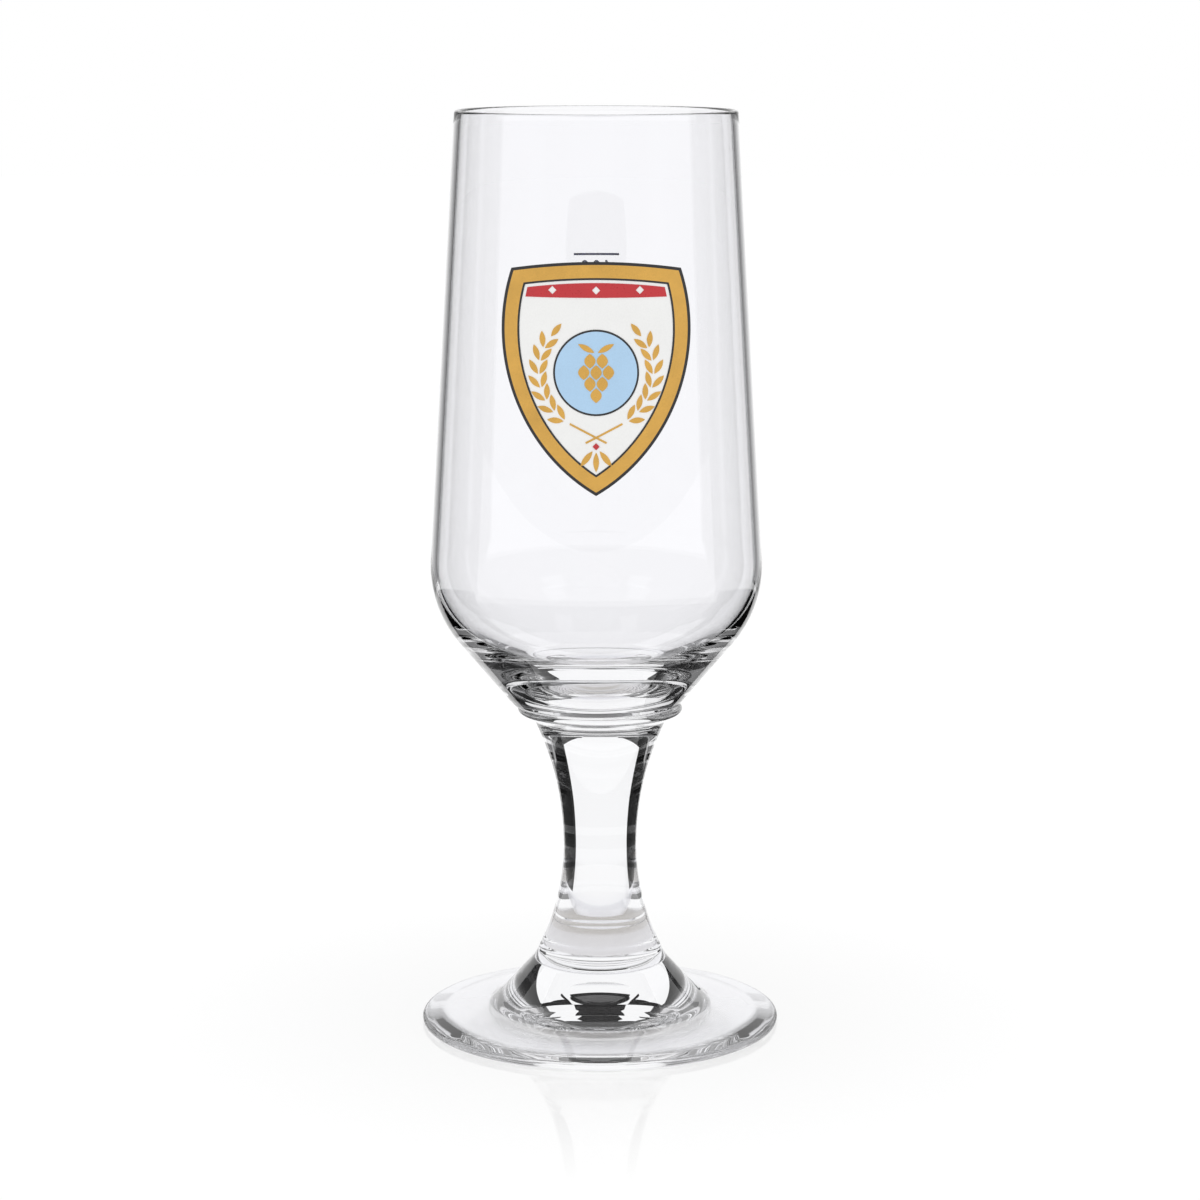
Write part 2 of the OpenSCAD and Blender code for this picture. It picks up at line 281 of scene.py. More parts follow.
def isFused(face, height, radius, shift):  # on the disc that is melted to the next piece
    s = turnSpec
    away = max(Vector((v.co.x - shift * mm, v.co.y)).length for v in face.verts)
    off = abs(face.calc_center_median().z - height * mm)
    return (abs(face.normal.z) > s["flatFrom"] and off < s["heightSlack"] * mm
            and away < (radius + s["radiusSlack"]) * mm)


def turnPiece(name, profile, shifts, spec, fusedDiscs):
    rows = bpy.data.meshes.new(name + "Profile")
    rows.from_pydata([(p.x * mm, s * mm, p.y * mm) for p, s in zip(profile, shifts)], [], [])
    guide = newObject(name + "Profile", rows)
    piece = newObject(name, bpy.data.meshes.new(name))
    tree, ids = turnedGlass
    setInputs(piece.modifiers.new("turn", "NODES"), tree, ids, {
        "Profile": guide, "Rows": len(profile), "Segments": spec["segments"],
        "Glass": finish[spec["glass"]]})
    settle(piece)
    bpy.data.objects.remove(guide)
    work = bmesh.new()
    work.from_mesh(piece.data)
    bmesh.ops.recalc_face_normals(work, faces=work.faces)
    for face in work.faces:
        if any(isFused(face, *disc) for disc in fusedDiscs):
            face.material_index = 1
    work.to_mesh(piece.data)
    work.free()
    piece.data.materials.append(finish["fused"])
    piece.data.set_sharp_from_angle(angle=math.radians(turnSpec["sharpAngle"]))
    return piece


# the three glass pieces; sizes in millimetres and degrees
meltGap = 0.02  # between the two faces of a melted joint
bowlSpec = {
    "height": 225, "rimDiameter": 68, "widest": 81, "shoulderHeight": 115, "shoulderRadius": 29,
    "coneAngle": 40, "baseEdge": 3.4, "wall": 1.5, "baseGlass": 6, "bottomRadius": 48,
    "cornerRadius": 24, "shift": -0.9, "segments": 320, "glass": "blown",
}
stemSpec = {
    "jointHeight": 80, "button": 40.4, "buttonEdge": 0.8, "buttonAngle": 30, "waist": 18,
    "waistHeight": 45, "upperFlare": 72, "lowerFlare": 60, "weldHeight": 20, "bead": 0.12,
    "beadHeight": 1.9, "segments": 320, "glass": "pressed",
}
footSpec = {
    "diameter": 88.5, "edge": 2.1, "slope": 10.5, "hub": 6, "hubHeight": 16, "hubAngle": 42,
    "hollow": 76, "hollowDepth": 3, "dimple": 12, "dimpleDepth": 0.7, "segments": 320,
    "glass": "pressed",
}

shoulderCentre = Vector((bowlSpec["widest"] / 2 - bowlSpec["shoulderRadius"], bowlSpec["shoulderHeight"]))
rimPoint = Vector((bowlSpec["rimDiameter"] / 2, bowlSpec["height"]))
fromCentre = rimPoint - shoulderCentre
taperAngle = math.degrees(math.atan2(fromCentre.y, fromCentre.x)
                          - math.acos(bowlSpec["shoulderRadius"] / fromCentre.length))
taperSlope = math.tan(math.radians(taperAngle))
taperOut = toward(taperAngle)


def wallRadius(z):  # outside of the tapering wall
    return rimPoint.x + (bowlSpec["height"] - z) * taperSlope


def bowlProfile():
    s, joint = bowlSpec, stemSpec["jointHeight"]
    coneOut = toward(-s["coneAngle"])
    shoulderTop = shoulderCentre + s["shoulderRadius"] * taperOut
    shoulderEnd = shoulderCentre + s["shoulderRadius"] * coneOut
    edgeZ = joint + s["baseEdge"]
    inward = (edgeZ - shoulderEnd.y) * math.sin(math.radians(s["coneAngle"])) - s["baseEdge"]
    edge = Vector((shoulderEnd.x + inward / math.cos(math.radians(s["coneAngle"])), edgeZ))
    lip = s["wall"] / 2
    lipCentre = Vector((wallRadius(s["height"] - lip) - lip / taperOut.x, s["height"] - lip))
    lipTop = lipCentre + Vector((0, lip))
    inside = joint + s["baseGlass"]
    bottom = Vector((0, inside + s["bottomRadius"]))
    down = toward(taperAngle - 90)
    corner = shoulderTop - (s["wall"] + s["cornerRadius"]) * taperOut
    corner = corner + leaveCircle(corner, down, bottom, s["bottomRadius"] - s["cornerRadius"]) * down
    cornerEnd = bottom + (corner - bottom).normalized() * s["bottomRadius"]
    points = joined(
        line(Vector((0, joint + meltGap)), Vector((edge.x, joint + meltGap)), 6),
        arc(edge, s["baseEdge"], Vector((edge.x, joint)), edge + s["baseEdge"] * coneOut, 10),
        line(edge + s["baseEdge"] * coneOut, shoulderEnd, 10),
        arc(shoulderCentre, s["shoulderRadius"], shoulderEnd, shoulderTop, 32),
        line(shoulderTop, lipCentre + lip * taperOut, 40),
        arc(lipCentre, lip, lipCentre + lip * taperOut, lipTop, 8),
        arc(lipCentre, lip, lipTop, lipCentre - lip * taperOut, 8),
        line(lipCentre - lip * taperOut, corner + s["cornerRadius"] * taperOut, 40),
        arc(corner, s["cornerRadius"], corner + s["cornerRadius"] * taperOut, cornerEnd, 24),
        arc(bottom, s["bottomRadius"], cornerEnd, Vector((0, inside)), 28))
    return points, edge.x


lowerCentre = Vector((stemSpec["waist"] / 2 + stemSpec["lowerFlare"], stemSpec["waistHeight"]))


def flarePoint(z):  # on the lower flare
    reach = math.sqrt(stemSpec["lowerFlare"] ** 2 - (z - lowerCentre.y) ** 2)
    return Vector((lowerCentre.x - reach, z))


def beaded(high, low, steps):  # the flare's surface swells a little at the weld
    points = []
    for i in range(steps + 1):
        swell = stemSpec["bead"] * math.sin(math.pi * i / steps)
        points.append(flarePoint(high + (low - high) * i / steps) + Vector((swell, 0)))
    return points


def stemProfile(seat):
    s = stemSpec
    waist = Vector((s["waist"] / 2, s["waistHeight"]))
    upper = waist + Vector((s["upperFlare"], 0))
    edge = Vector((s["button"] / 2 - s["buttonEdge"], s["jointHeight"] - s["buttonEdge"]))
    edgeEnd = edge + s["buttonEdge"] * toward(s["buttonAngle"] - 90)
    inward = toward(s["buttonAngle"] - 180)
    crease = edgeEnd + leaveCircle(edgeEnd, inward, upper, s["upperFlare"]) * inward
    low, high = s["weldHeight"] + meltGap, s["weldHeight"] + s["beadHeight"]
    top = line(Vector((0, s["jointHeight"])), Vector((seat, s["jointHeight"])), 6)
    sideways = edge + Vector((s["buttonEdge"], 0))
    points = joined(
        top,
        line(Vector((seat, s["jointHeight"])), edge + Vector((0, s["buttonEdge"])), 2),
        arc(edge, s["buttonEdge"], edge + Vector((0, s["buttonEdge"])), sideways, 8),
        arc(edge, s["buttonEdge"], sideways, edgeEnd, 8),
        line(edgeEnd, crease, 6),
        arc(upper, s["upperFlare"], crease, waist, 32),
        arc(lowerCentre, s["lowerFlare"], waist, flarePoint(high), 30),
        beaded(high, low, 8),
        line(flarePoint(low), Vector((0, low)), 6))
    shifts = [bowlSpec["shift"] if i < len(top) else 0 for i in range(len(points))]
    return points, shifts, flarePoint(low).x


def footProfile():
    s = footSpec
    half = s["edge"] / 2
    edge = Vector((s["diameter"] / 2 - half, half))
    out, inward = toward(90 - s["slope"]), toward(180 - s["slope"])
    edgeTop = edge + half * out
    weld = stemSpec["weldHeight"]
    low = weld - stemSpec["beadHeight"]
    kink = flarePoint(s["hubHeight"])
    hubOut, hubDown = toward(s["hubAngle"]), toward(s["hubAngle"] - 90)
    gap = edgeTop + s["hub"] * out - kink - s["hub"] * hubOut
    hubEnd = kink + cross(gap, inward) / cross(hubDown, inward) * hubDown
    hub = hubEnd + s["hub"] * hubOut
    hollow, deep = s["hollow"] / 2, s["hollowDepth"]
    hollowRadius = (hollow ** 2 + deep ** 2) / (2 * deep)
    hollowCentre = Vector((0, deep - hollowRadius))
    dimple = s["dimple"] / 2
    dimpleRadius = (dimple ** 2 + s["dimpleDepth"] ** 2) / (2 * s["dimpleDepth"])
    dimpleEdge = Vector((dimple, hollowCentre.y + math.sqrt(hollowRadius ** 2 - dimple ** 2)))
    dimpleTop = Vector((0, dimpleEdge.y + s["dimpleDepth"]))
    sideways = edge + Vector((half, 0))
    under = edge - Vector((0, half))
    return joined(
        line(Vector((0, weld)), flarePoint(weld), 6),
        beaded(weld, low, 8),
        arc(lowerCentre, stemSpec["lowerFlare"], flarePoint(low), kink, 8),
        line(kink, hubEnd, 12),
        arc(hub, s["hub"], hubEnd, hub - s["hub"] * out, 14),
        line(hub - s["hub"] * out, edgeTop, 10),
        arc(edge, half, edgeTop, sideways, 8),
        arc(edge, half, sideways, under, 8),
        line(under, Vector((hollow, 0)), 4),
        arc(hollowCentre, hollowRadius, Vector((hollow, 0)), dimpleEdge, 16),
        arc(dimpleTop - Vector((0, dimpleRadius)), dimpleRadius, dimpleEdge, dimpleTop, 20))


points, seatRadius = bowlProfile()
seatDisc = (stemSpec["jointHeight"], seatRadius, bowlSpec["shift"])
bowl = turnPiece("bowlGlass", points, [bowlSpec["shift"]] * len(points), bowlSpec, [seatDisc])
points, shifts, weldRadius = stemProfile(seatRadius)
weldDisc = (stemSpec["weldHeight"], weldRadius, 0)
stem = turnPiece("stemGlass", points, shifts, stemSpec, [seatDisc, weldDisc])
points = footProfile()
foot = turnPiece("footGlass", points, [0] * len(points), footSpec, [weldDisc])
for piece, node in ((bowl, "bowl"), (stem, "stem"), (foot, "foot")):
    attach(piece, "root")
    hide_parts(node)
print("glass turned:", [len(p.data.polygons) for p in (bowl, stem, foot)], "faces")


# fired enamel: a flat drawing, with leaves set on its marked points, gets its thickness
# and is bent onto the tapering wall, on the front or (side -1) on the back
enamelSpec = {
    "thickness": 0.1, "lift": 0.012, "layerStep": 0.096, "leafSteps": 10, "merge": 0.000001,
    "sharpAngle": 40,
}


def enamelTree():
    tree, ids = newTree("firedEnamel", [
        ("Leaf", "Object", None), ("Height", "Float", 0.16), ("Side", "Float", 1.0),
        ("Lift", "Float", 0.0), ("Thickness", "Float", 0.0001), ("Rim Radius", "Float", 0.03),
        ("Rim Height", "Float", 0.2), ("Taper", "Float", 0.05), ("Axis Shift", "Float", 0.0),
        ("Enamel", "Material", None)])
    given = addNode(tree, "NodeGroupInput").outputs
    isLeaf = addNode(tree, "FunctionNodeCompare", {0: named(tree, "leafLength"), 1: 0.0},
                     data_type="FLOAT", operation="GREATER_THAN").outputs[0]
    turn = addNode(tree, "FunctionNodeEulerToRotation", {0: vectorOf(tree, 0.0, 0.0, named(tree, "turn"))})
    leaf = addNode(tree, "GeometryNodeObjectInfo", {"Object": given["Leaf"]}).outputs["Geometry"]
    leaves = addNode(tree, "GeometryNodeInstanceOnPoints", {
        "Points": given["Geometry"], "Selection": isLeaf, "Instance": leaf, "Rotation": turn.outputs[0],
        "Scale": vectorOf(tree, named(tree, "leafWidth"), named(tree, "leafLength"), 1.0)}).outputs[0]
    leaves = addNode(tree, "GeometryNodeRealizeInstances", {"Geometry": leaves}).outputs[0]
    bare = addNode(tree, "GeometryNodeDeleteGeometry", {
        "Geometry": given["Geometry"], "Selection": isLeaf}, domain="POINT").outputs[0]
    flat = addNode(tree, "GeometryNodeMergeByDistance", {
        "Geometry": joinOf(tree, bare, leaves), "Distance": enamelSpec["merge"]}).outputs[0]
    upper = addNode(tree, "GeometryNodeExtrudeMesh", {
        "Mesh": flat, "Offset": vectorOf(tree, 0.0, 0.0, 1.0), "Offset Scale": given["Thickness"],
        "Individual": False}, mode="FACES").outputs[0]
    lower = addNode(tree, "GeometryNodeFlipFaces", {"Mesh": flat}).outputs[0]
    shape = addNode(tree, "GeometryNodeMergeByDistance", {
        "Geometry": joinOf(tree, upper, lower), "Distance": enamelSpec["merge"]}).outputs[0]
    place = addNode(tree, "ShaderNodeSeparateXYZ", {
        0: addNode(tree, "GeometryNodeInputPosition").outputs[0]}).outputs
    height = mathOf(tree, "ADD", given["Height"], place[1])
    radius = mathOf(tree, "ADD", given["Rim Radius"], mathOf(
        tree, "MULTIPLY", mathOf(tree, "SUBTRACT", given["Rim Height"], height), given["Taper"]))
    radius = mathOf(tree, "ADD", radius, mathOf(tree, "ADD", given["Lift"], place[2]))
    radiusSquare = mathOf(tree, "MULTIPLY", radius, radius)
    acrossSquare = mathOf(tree, "MULTIPLY", place[0], place[0])
    deep = mathOf(tree, "SQRT", mathOf(tree, "SUBTRACT", radiusSquare, acrossSquare))
    across = mathOf(tree, "ADD", mathOf(tree, "MULTIPLY", place[0], given["Side"]), given["Axis Shift"])
    bent = vectorOf(tree, across, mathOf(
        tree, "MULTIPLY", deep, mathOf(tree, "MULTIPLY", given["Side"], -1.0)), height)
    shape = addNode(tree, "GeometryNodeSetPosition", {"Geometry": shape, "Position": bent}).outputs[0]
    shape = addNode(tree, "GeometryNodeSetShadeSmooth", {"Geometry": shape}).outputs[0]
    shape = addNode(tree, "GeometryNodeRealizeInstances", {"Geometry": shape}).outputs[0]
    shape = addNode(tree, "GeometryNodeSetMaterial", {
        "Geometry": shape, "Material": given["Enamel"]}).outputs[0]
    addNode(tree, "NodeGroupOutput", {0: shape})
    return tree, ids


firedEnamel = enamelTree()


def gridPatch(rows, closed=False):  # quads between rows of points
    count = len(rows[0])
    quads = []
    for i in range(len(rows) - 1):
        for j in range(count if closed else count - 1):
            k = (j + 1) % count
            quads.append([i * count + j, i * count + k, (i + 1) * count + k, (i + 1) * count + j])
    return [p for row in rows for p in row], quads


def ringPatch(centre, inner, outer, angles, rings):  # between two reaches from a centre
    rows = []
    for i in range(rings + 1):
        rows.append([centre + toward(a) * (inner(a) + (outer(a) - inner(a)) * i / rings) for a in angles])
    return gridPatch(rows, True)


def strip(p, q, width, steps):
    side = Vector((p.y - q.y, q.x - p.x)).normalized() * width / 2
    return gridPatch([line(p - side, q - side, steps), line(p + side, q + side, steps)])


def flatMesh(name, patches, leaves=()):  # a leaf is its base, turn, length and width
    corners, faces = [], []
    for patchPoints, quads in patches:
        for quad in quads:
            ring = [patchPoints[i] for i in quad]
            area = sum(cross(a, b) for a, b in zip(ring, ring[1:] + ring[:1]))
            faces.append([len(corners) + i for i in (quad if area > 0 else quad[::-1])])
        corners += patchPoints
    marks = [(0, 0, 0)] * len(corners)
    marks += [(math.radians(turn), length * mm, width * mm) for _, turn, length, width in leaves]
    corners += [base for base, *_ in leaves]
    mesh = bpy.data.meshes.new(name)
    mesh.from_pydata([(p.x * mm, p.y * mm, 0) for p in corners], [], faces)
    for i, label in enumerate(("turn", "leafLength", "leafWidth")):
        mesh.attributes.new(label, "FLOAT", "POINT").data.foreach_set("value", [m[i] for m in marks])
    return mesh


def leafShape():  # a pointed leaf, one unit long and wide, on +Y
    steps = enamelSpec["leafSteps"]
    rows = [[Vector((side * 2 * t * (1 - t), t)) for t in (i / steps for i in range(steps + 1))]
            for side in (1, 0, -1)]
    corners, quads = gridPatch(rows)
    mesh = bpy.data.meshes.new("leafShape")
    mesh.from_pydata([(p.x, p.y, 0) for p in corners], [], quads)
    return newObject("leafShape", mesh)


leafGuide = leafShape()


def firePiece(name, patches, layer, height, colour, node=None, leaves=(), side=1):
    piece = newObject(name, flatMesh(name, patches, leaves))
    tree, ids = firedEnamel
    setInputs(piece.modifiers.new("fire", "NODES"), tree, ids, {
        "Leaf": leafGuide, "Height": height * mm, "Side": float(side),
        "Lift": (enamelSpec["lift"] + layer * enamelSpec["layerStep"]) * mm,
        "Thickness": enamelSpec["thickness"] * mm, "Rim Radius": rimPoint.x * mm,
        "Rim Height": rimPoint.y * mm, "Taper": taperSlope, "Axis Shift": bowlSpec["shift"] * mm,
        "Enamel": finish[colour]})
    settle(piece)
    piece.data.set_sharp_from_angle(angle=math.radians(enamelSpec["sharpAngle"]))
    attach(piece, "root")
    if node:
        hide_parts(node)


# the crest: a shield drawn about its middle, in millimetres
crestSpec = {
    "width": 44, "height": 54, "middle": 164.5, "archShare": 2.5, "outline": 0.7, "band": 3,
    "fineLine": 0.45, "disc": 19, "discLift": 1.5, "angles": 240, "cornerBetween": (20, 80),
    "halvings": 40,
}
bandOut = crestSpec["outline"]  # these three are distances in from the shield's edge
bandIn = bandOut + crestSpec["band"]
crestFrame = bandIn + crestSpec["fineLine"]
discCentre = Vector((0, crestSpec["discLift"]))
discReach = crestSpec["disc"] / 2
sideCentre = Vector((crestSpec["width"] / 2,
                     crestSpec["width"] * math.sqrt(3) / 2 - crestSpec["height"] / 2))
archRadius = crestSpec["width"] * crestSpec["archShare"]
archCentre = Vector((0, crestSpec["height"] / 2 - archRadius))


def sideReach(angle, margin):
    reach = crestSpec["width"] - margin
    return min(leaveCircle(discCentre, toward(angle), Vector((x, sideCentre.y)), reach)
               for x in (-sideCentre.x, sideCentre.x))


def archReach(angle, margin):
    return leaveCircle(discCentre, toward(angle), archCentre, archRadius - margin)


def shield(margin):  # how far the shield reaches from the disc's middle, by angle
    return lambda angle: min(sideReach(angle, margin), archReach(angle, margin))


def topCorner(margin):  # the angle of the shield's upper right corner, found by halving
    low, high = crestSpec["cornerBetween"]
    for _ in range(crestSpec["halvings"]):
        middle = (low + high) / 2
        low, high = (low, middle) if sideReach(middle, margin) > archReach(middle, margin) else (middle, high)
    return low


def crestAngles():
    angles = {360 * i / crestSpec["angles"] for i in range(crestSpec["angles"])}
    for margin in (0, bandOut, bandIn, crestFrame):
        corner = topCorner(margin)
        angles |= {corner, 180 - corner}
    return sorted(angles)


def fireCrest(name, patches, layer, colour, node=None, leaves=()):
    firePiece(name, patches, layer, crestSpec["middle"], colour, node, leaves)


angles = crestAngles()
fireCrest("crestGround", [ringPatch(discCentre, lambda a: 0, shield(0), angles, 24)],
          0, "white", "crest_ground")
fireCrest("crestDisc", [ringPatch(discCentre, lambda a: 0, lambda a: discReach, angles, 9)],
          1, "blue", "crest_disc")
fireCrest("crestBand", [ringPatch(discCentre, shield(bandIn), shield(bandOut), angles, 3)],
          1, "gold", "crest_band")
fireCrest("crestOutline", [
    ringPatch(discCentre, shield(bandOut), shield(0), angles, 1),
    ringPatch(discCentre, shield(crestFrame), shield(bandIn), angles, 1),
    ringPatch(discCentre, lambda a: discReach, lambda a: discReach + crestSpec["fineLine"], angles, 1),
], 1, "black", "crest_outline")

# barley round the disc, with a fan of leaves below
barleySpec = {
    "grain": (3.8, 1.35), "pairs": 7, "lowAngle": -56, "step": 13.5, "lean": 30, "stalk": 0.72,
    "fanAngles": (-38, 0, 38), "fanDrop": 1.28, "fanLeaf": 1.2,
}


def earRadius():  # midway between the disc and the frame
    reach = crestSpec["width"] - crestFrame
    field = math.sqrt(reach ** 2 - (sideCentre.y - discCentre.y) ** 2) - sideCentre.x
    return (discReach + crestSpec["fineLine"] + field) / 2


def barley(ear):
    s = barleySpec
    length, width = s["grain"]
    leaves, stalks = [], []
    for mirror in (1, -1):
        def put(p):
            return discCentre + Vector((mirror * p.x, p.y))
        for i in range(s["pairs"]):
            angle = s["lowAngle"] + i * s["step"]
            for side in (-1, 1):
                base = toward(angle) * (ear - side * crestSpec["fineLine"] / 2)
                leaves.append((put(base), mirror * (angle + side * s["lean"]), length, width))
        angle = s["lowAngle"] + s["pairs"] * s["step"]
        leaves.append((put(toward(angle) * ear), mirror * angle, length, width))
        angle = s["lowAngle"] - s["step"] / 2
        start, along = toward(angle) * ear, toward(angle - 90) * ear * s["stalk"]
        stalks.append(strip(put(start), put(start + along), crestSpec["fineLine"], 10))
    for angle in s["fanAngles"]:
        base = discCentre - Vector((0, ear * s["fanDrop"])) + toward(angle - 90) * width
        leaves.append((base, 180 + angle, length * s["fanLeaf"], width))
    return stalks, leaves


ear = earRadius()
stalks, grains = barley(ear)
fireCrest("crestBarley", stalks, 1, "gold", "crest_barley", grains)

# a hop cone on the disc: rows of scales from the top down, under two leaves
hopSpec = {
    "scale": (3.4, 2.6), "rows": ((-0.5, 0.5), (-1, 0, 1), (-0.5, 0.5), (0,)), "rowStep": 0.78,
    "columnStep": 1.1, "lift": 1.3, "leaf": 1.25, "leafAngles": (-62, 62),
}


def hop():
    s = hopSpec
    length, width = s["scale"]
    top = discCentre + Vector((0, length * s["lift"]))
    leaves = []
    for row, columns in enumerate(s["rows"]):
        for column in columns:
            base = top + Vector((column * width * s["columnStep"], -row * length * s["rowStep"]))
            leaves.append((base, 180, length, width))
    for angle in s["leafAngles"]:
        base = top + toward(angle + 90) * crestSpec["fineLine"]
        leaves.append((base, angle, length * s["leaf"], width / 2))
    return leaves


fireCrest("crestHop", [], 2, "gold", "crest_hop", hop())

# the red bar with diamonds of bare ground, and the red tie round the stalks
barSpec = {
    "height": 3.4, "gap": 0.7, "diamonds": 3, "pitch": 0.23, "diamond": 0.4, "tie": 0.34, "step": 0.8,
    "evenShare": 0.97,  # how far out the even columns go, before the slanted ends
}


def redBar():
    s = barSpec
    margin = crestFrame + s["gap"]
    low = crestSpec["height"] / 2 - margin - s["height"]
    middle = low + s["height"] / 2
    half = s["height"] * s["diamond"] * math.sqrt(0.5)
    centres = [(i - (s["diamonds"] - 1) / 2) * crestSpec["width"] * s["pitch"] for i in range(s["diamonds"])]
    corner = discCentre + toward(topCorner(margin)) * shield(margin)(topCorner(margin))

    def sideX(y):
        return math.sqrt((crestSpec["width"] - margin) ** 2 - (y - sideCentre.y) ** 2) - sideCentre.x

    def column(x):
        notch = max([half - abs(x - c) for c in centres] + [0])
        top = archCentre.y + math.sqrt((archRadius - margin) ** 2 - x * x)
        return [Vector((x, y)) for y in (low, middle - notch, middle + notch, top)]

    count = int(corner.x / s["step"])
    places = {round(corner.x * s["evenShare"] * i / count, 4) for i in range(-count, count + 1)}
    places |= {c + d for c in centres for d in (-half, 0, half)}
    columns = [column(x) for x in sorted(places)]
    for side, place in ((-1, 0), (1, len(columns) + 1)):
        end = [Vector((side * sideX(y), y)) for y in (low, middle, middle)]
        columns.insert(place, end + [Vector((side * corner.x, corner.y))])
    return [gridPatch([c[:2] for c in columns]), gridPatch([c[2:] for c in columns])]


def redTie():
    centre = discCentre - Vector((0, ear * barleySpec["fanDrop"]))
    half = barSpec["height"] * barSpec["tie"] * math.sqrt(0.5)
    tips = [centre + toward(a) * half for a in (0, 90, 180, 270)]
    return [([centre] + tips, [[0, 1, 2], [0, 2, 3], [0, 3, 4], [0, 4, 1]])]


fireCrest("crestBar", redBar(), 1, "red", "crest_bar")
fireCrest("crestTie", redTie(), 2, "red")

# the fill line on the back, and the millilitres below it as a plain number
fillSpec = {
    "height": 188, "length": 11.7, "width": 0.55, "digitHeight": 3.6, "digitWidth": 2.3,
    "digitStep": 3.0, "stroke": 0.5, "drop": 1.5, "postShare": 0.2, "barShare": 0.3, "ovalStep": 10,
}


def fillDigits():
    s = fillSpec
    high, wide, stroke = s["digitHeight"], s["digitWidth"], s["stroke"]
    start = Vector((-s["digitStep"], -s["drop"] - high))
    left, right = start.x - wide / 2, start.x + wide / 2
    post, bar = start.x + wide * s["postShare"], start.y + high * s["barShare"]
    tuck = stroke / 3  # keeps the ends of the slant within bar and post
    four = [
        strip(Vector((post, start.y)), Vector((post, start.y + high)), stroke, 5),
        strip(Vector((left, bar)), Vector((right, bar)), stroke, 5),
        strip(Vector((left + tuck, bar)), Vector((post, start.y + high - tuck)), stroke, 5),
    ]

    def oval(width, height):
        return lambda a: 1 / math.hypot(math.cos(math.radians(a)) / width, math.sin(math.radians(a)) / height)

    around = list(range(0, 360, s["ovalStep"]))
    zeros = [ringPatch(start + Vector((s["digitStep"] * i, high / 2)),
                       oval(wide / 2 - stroke, high / 2 - stroke), oval(wide / 2, high / 2), around, 1)
             for i in (1, 2)]
    return four + zeros


halfLine = Vector((fillSpec["length"] / 2, 0))
firePiece("fillLine", [strip(-halfLine, halfLine, fillSpec["width"], 24)], 0, fillSpec["height"],
          "line", "fill_line", side=-1)
firePiece("fillNumber", fillDigits(), 0, fillSpec["height"], "line", side=-1)
bpy.data.objects.remove(leafGuide)
print("enamel fired on the bowl")


# camera and stage
cameraSpec = {
    "lens": 102.88, "sensor": 36, "place": (0, -0.82719, 0.25222), "pitch": -10.02, "nearest": 0.01,
}
camera = bpy.data.objects.new("camera", bpy.data.cameras.new("camera"))
scene.collection.objects.link(camera)
camera.data.sensor_width = cameraSpec["sensor"]
camera.data.lens = cameraSpec["lens"]
camera.data.clip_start = cameraSpec["nearest"]
camera.location = cameraSpec["place"]
camera.rotation_euler = (math.radians(90 + cameraSpec["pitch"]), 0, 0)
scene.camera = camera

scene.view_settings.view_transform = "Standard"
scene.cycles.max_bounces = 32
scene.cycles.transmission_bounces = 32
scene.cycles.glossy_bounces = 16
scene.cycles.transparent_max_bounces = 32

world = bpy.data.worlds.new("studio")
scene.world = world
world.use_nodes = True
world.node_tree.nodes["Background"].inputs["Color"].default_value = (1, 1, 1, 1)
world.node_tree.nodes["Background"].inputs["Strength"].default_value = 1.0

floorSpec = {
    "reach": 4, "sink": 0.00002, "paint": 0.1, "glow": 0.92, "mirrorIor": 1.7, "mirrorRough": 0.04,
    "mirrorFrom": 0.05, "mirrorTo": 0.125, "paintedShadeReach": 0.1,
    "paintedShades": [(0.1, (0.5, 0.48, 0.455)), (0.3, (0.81, 0.805, 0.83)), (0.44, (0.87, 0.87, 0.89)),
               (0.6, (0.9, 0.9, 0.9))],  # painted shade on the floor as seen through the glass: darker under the foot, by distance from the axis
}


def floorMaterial():
    s = floorSpec
    material, tree = newMaterial("whiteFloor")
    where = addNode(tree, "ShaderNodeTexCoord").outputs["Object"]
    away = addNode(tree, "ShaderNodeVectorMath", {0: where}, operation="LENGTH").outputs["Value"]
    fade = addNode(tree, "ShaderNodeMapRange", {
        "Value": away, "From Min": s["mirrorFrom"], "From Max": s["mirrorTo"],
        "To Min": 1.0, "To Max": 0.0}).outputs["Result"]
    through = addNode(tree, "ShaderNodeLightPath").outputs["Is Transmission Ray"]
    # painted shade: rays through the glass see the floor's glow replaced by this ramp, darker under the foot,
    # nearer the axis
    ramp = addNode(tree, "ShaderNodeValToRGB", {"Fac": mathOf(tree, "DIVIDE", away, s["paintedShadeReach"])})
    paintedShadeStops = ramp.color_ramp.elements
    while len(paintedShadeStops) < len(s["paintedShades"]):
        paintedShadeStops.new(0.5)
    for stop, (place, colour) in zip(paintedShadeStops, s["paintedShades"]):
        stop.position, stop.color = place, colour + (1,)
    white = addNode(tree, "ShaderNodeMix", {
        "Factor": through, 6: (s["glow"],) * 3 + (1,), 7: ramp.outputs["Color"]}, data_type="RGBA")
    paint = addNode(tree, "ShaderNodeBsdfDiffuse", {"Color": (s["paint"],) * 3 + (1,)})
    glow = addNode(tree, "ShaderNodeEmission", {"Color": white.outputs[2]})
    lit = addNode(tree, "ShaderNodeAddShader", {0: paint.outputs[0], 1: glow.outputs[0]})
    gloss = addNode(tree, "ShaderNodeBsdfGlossy", {"Roughness": s["mirrorRough"]})
    mirror = addNode(tree, "ShaderNodeFresnel", {"IOR": s["mirrorIor"]}).outputs[0]
    mix = addNode(tree, "ShaderNodeMixShader", {
        "Fac": mathOf(tree, "MULTIPLY", mirror, fade),
        1: lit.outputs[0], 2: gloss.outputs[0]})
    addNode(tree, "ShaderNodeOutputMaterial", {"Surface": mix.outputs[0]})
    return material


